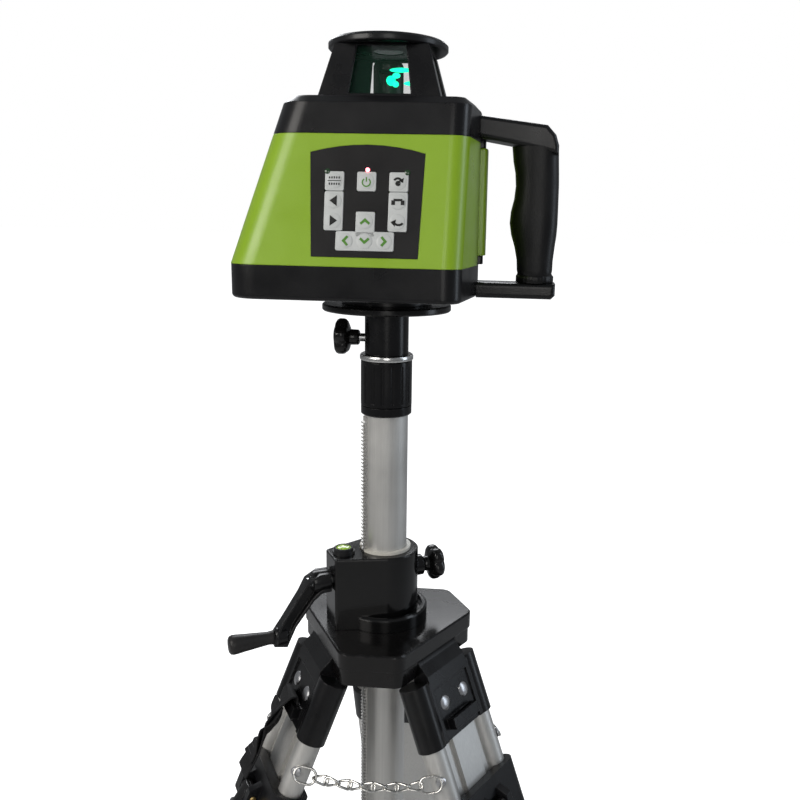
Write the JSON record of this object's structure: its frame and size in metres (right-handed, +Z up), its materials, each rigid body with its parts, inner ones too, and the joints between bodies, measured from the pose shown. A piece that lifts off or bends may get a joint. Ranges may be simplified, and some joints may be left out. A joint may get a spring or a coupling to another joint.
{
  "type": "laser level on tripod",
  "caption": "Self-levelling rotary laser level in a lime and black case on a crank-elevating aluminium tripod with chained twin-tube legs.",
  "frame": {"origin": "on the floor, under the column's axis", "axes": "+Z up the column; -Y the side that carries the keypad; +X the side of the carrying handle"},
  "size_m": [0.7098, 0.623, 1.248],
  "materials": {
    "head_enamel": "gloss",
    "leg_black": "semi-gloss",
    "anodised_tube": "satin, drawn along its length",
    "turned_aluminium": "turned",
    "steel": "brushed",
    "black_plastic": "satin",
    "knob_plastic": "gloss",
    "lime_case": "satin-gloss, fine grain",
    "charcoal_case": "satin, fine grain",
    "pale_bush": "satin",
    "clear_glass": "clear with a green edge",
    "vial_fluid": "clear, tinted",
    "soft_grip": "matt",
    "foot_rubber": "matt",
    "webbing": "woven",
    "keypad_film": "satin",
    "key_plastic": "satin",
    "rotor_black": "satin",
    "chain_steel": "bright",
    "brass_insert": "turned",
    "cell_wrap": "gloss"
  },
  "bodies": {
    "tripod_head": {"platform_top": "head_enamel", "platform_base": "head_enamel", "leg_hinge_pins": "steel", "crank_housing": "head_enamel", "column_bushes": "pale_bush", "level_bezel": "black_plastic", "level_vial": "vial_fluid", "leg_chains": "chain_steel"},
    "column": {"column_tube": "anodised_tube", "column_rack": "turned_aluminium", "collar_seat": "black_plastic"},
    "twist_collar": {"twist_collar": "black_plastic"},
    "inner_column": {"inner_column": "anodised_tube", "head_socket": "head_enamel"},
    "laser": {"head_disc": "head_enamel", "mount_stud": "steel", "laser_base": "charcoal_case", "thread_insert": "brass_insert", "laser_body": "lime_case", "laser_cover": "charcoal_case", "carry_handle": "charcoal_case", "handle_grip": "soft_grip", "turret_cage": "charcoal_case", "turret_glass": "clear_glass", "turret_cap": "charcoal_case", "rotor_bearing": "turned_aluminium", "keypad_panel": "keypad_film", "battery_cells": "cell_wrap"},
    "rotor": {"rotor_head": "rotor_black"},
    "mode_key": {"mode_key": "key_plastic"},
    "power_key": {"power_key": "key_plastic"},
    "scan_key": {"scan_key": "key_plastic"},
    "speed_rocker": {"speed_rocker": "key_plastic"},
    "function_rocker": {"function_rocker": "key_plastic"},
    "arrow_pad": {"arrow_pad": "key_plastic"},
    "head_knob": {"head_knob": "knob_plastic"},
    "column_lock_knob": {"column_lock_knob": "knob_plastic"},
    "crank": {"crank_arm": "head_enamel", "crank_shaft": "steel"},
    "crank_grip": {"crank_grip": "knob_plastic"},
    "pinion": {"pinion_shaft": "steel"},
    "upper_leg_a": {"leg_bracket_a": "leg_black", "upper_tubes_a": "anodised_tube", "carry_strap": "webbing"},
    "lower_leg_a": {"lower_leg_a": "anodised_tube", "leg_clamp_a": "leg_black", "leg_foot_a": "foot_rubber"},
    "clamp_lever_a": {"clamp_lever_a": "knob_plastic"},
    "upper_leg_b": {"leg_bracket_b": "leg_black", "upper_tubes_b": "anodised_tube"},
    "lower_leg_b": {"lower_leg_b": "anodised_tube", "leg_clamp_b": "leg_black", "leg_foot_b": "foot_rubber"},
    "clamp_lever_b": {"clamp_lever_b": "knob_plastic"},
    "upper_leg_c": {"leg_bracket_c": "leg_black", "upper_tubes_c": "anodised_tube"},
    "lower_leg_c": {"lower_leg_c": "anodised_tube", "leg_clamp_c": "leg_black", "leg_foot_c": "foot_rubber"},
    "clamp_lever_c": {"clamp_lever_c": "knob_plastic"}
  },
  "joints": [
    {"name": "column_slide", "type": "slide", "parent": "tripod_head", "child": "column", "axis": [0, 0, 1], "range_m": [-0.113, 0.2]},
    {"name": "twist_collar_turn", "type": "hinge", "parent": "column", "child": "twist_collar", "pos_m": [0, 0, 0.985], "axis": [0, 0, 1], "range_deg": [0, 90]},
    {"name": "inner_slide", "type": "slide", "parent": "column", "child": "inner_column", "axis": [0, 0, 1], "range_m": [0, 0.25]},
    {"name": "head_swivel", "type": "hinge", "parent": "inner_column", "child": "laser", "pos_m": [0, 0, 1.0468], "axis": [0, 0, 1], "continuous": true},
    {"name": "rotor_spin", "type": "hinge", "parent": "laser", "child": "rotor", "pos_m": [0, 0, 1.215], "axis": [0, 0, 1], "continuous": true},
    {"name": "head_knob_turn", "type": "hinge", "parent": "inner_column", "child": "head_knob", "pos_m": [-0.03, 0, 1.024], "axis": [-1, 0, 0], "range_deg": [0, 540]},
    {"name": "column_lock_turn", "type": "hinge", "parent": "tripod_head", "child": "column_lock_knob", "pos_m": [0.03464, 0.02, 0.823], "axis": [0.866, 0.5, 0], "range_deg": [0, 540]},
    {"name": "crank_spin", "type": "hinge", "parent": "tripod_head", "child": "crank", "pos_m": [-0.0433, -0.025, 0.823], "axis": [-0.866, -0.5, 0], "range_deg": [-1920, 1090]},
    {"name": "crank_grip_spin", "type": "hinge", "parent": "crank", "child": "crank_grip", "pos_m": [-0.09526, -0.055, 0.78], "axis": [-0.866, -0.5, 0], "continuous": true},
    {"name": "pinion_spin", "type": "hinge", "parent": "tripod_head", "child": "pinion", "pos_m": [-0.02243, -0.01295, 0.823], "axis": [0.5, -0.866, 0], "range_deg": [-1090, 1920]},
    {"name": "mode_key_press", "type": "slide", "parent": "laser", "child": "mode_key", "axis": [0, 0.9817, -0.1904], "range_m": [0, 0.0008], "stiffness_N_per_m": 800, "springref_m": -0.001},
    {"name": "power_key_press", "type": "slide", "parent": "laser", "child": "power_key", "axis": [0, 0.9817, -0.1904], "range_m": [0, 0.0008], "stiffness_N_per_m": 800, "springref_m": -0.001},
    {"name": "scan_key_press", "type": "slide", "parent": "laser", "child": "scan_key", "axis": [0, 0.9817, -0.1904], "range_m": [0, 0.0008], "stiffness_N_per_m": 800, "springref_m": -0.001},
    {"name": "speed_rocker_tilt", "type": "hinge", "parent": "laser", "child": "speed_rocker", "pos_m": [-0.0267, -0.07406, 1.12288], "axis": [1, 0, 0], "range_deg": [-3, 3], "stiffness_Nm_per_rad": 0.2},
    {"name": "function_rocker_tilt", "type": "hinge", "parent": "laser", "child": "function_rocker", "pos_m": [0.0187, -0.07406, 1.12288], "axis": [1, 0, 0], "range_deg": [-3, 3], "stiffness_Nm_per_rad": 0.2},
    {"name": "arrow_pad_tilt", "type": "hinge", "parent": "laser", "child": "arrow_pad", "pos_m": [-0.004, -0.07671, 1.10924], "axis": [1, 0, 0], "range_deg": [-3, 3], "stiffness_Nm_per_rad": 0.2},
    {"name": "leg_fold_a", "type": "hinge", "parent": "tripod_head", "child": "upper_leg_a", "pos_m": [-0.04503, -0.026, 0.761], "axis": [-0.5, 0.866, 0], "range_deg": [-22, 0], "deforming": ["leg_chains"]},
    {"name": "leg_slide_a", "type": "slide", "parent": "upper_leg_a", "child": "lower_leg_a", "axis": [-0.3356, -0.1938, -0.9219], "range_m": [0, 0.4]},
    {"name": "lever_a_open", "type": "hinge", "parent": "lower_leg_a", "child": "clamp_lever_a", "pos_m": [-0.10536, -0.06083, 0.64601], "axis": [-0.5, 0.866, 0], "range_deg": [0, 90]},
    {"name": "leg_fold_b", "type": "hinge", "parent": "tripod_head", "child": "upper_leg_b", "pos_m": [0.04503, -0.026, 0.761], "axis": [-0.5, -0.866, 0], "range_deg": [-22, 0], "deforming": ["leg_chains"]},
    {"name": "leg_slide_b", "type": "slide", "parent": "upper_leg_b", "child": "lower_leg_b", "axis": [0.3356, -0.1938, -0.9219], "range_m": [0, 0.4]},
    {"name": "lever_b_open", "type": "hinge", "parent": "lower_leg_b", "child": "clamp_lever_b", "pos_m": [0.10536, -0.06083, 0.64601], "axis": [-0.5, -0.866, 0], "range_deg": [0, 90]},
    {"name": "leg_fold_c", "type": "hinge", "parent": "tripod_head", "child": "upper_leg_c", "pos_m": [0, 0.052, 0.761], "axis": [1, 0, 0], "range_deg": [-22, 0], "deforming": ["leg_chains"]},
    {"name": "leg_slide_c", "type": "slide", "parent": "upper_leg_c", "child": "lower_leg_c", "axis": [0, 0.3875, -0.9219], "range_m": [0, 0.4]},
    {"name": "lever_c_open", "type": "hinge", "parent": "lower_leg_c", "child": "clamp_lever_c", "pos_m": [0, 0.12165, 0.64601], "axis": [1, 0, 0], "range_deg": [0, 90]}
  ],
  "couplings": [
    {"joint": "pinion_spin", "follows": "column_slide", "rad_per_m": 166.67},
    {"joint": "crank_spin", "follows": "column_slide", "rad_per_m": -166.67}
  ]
}
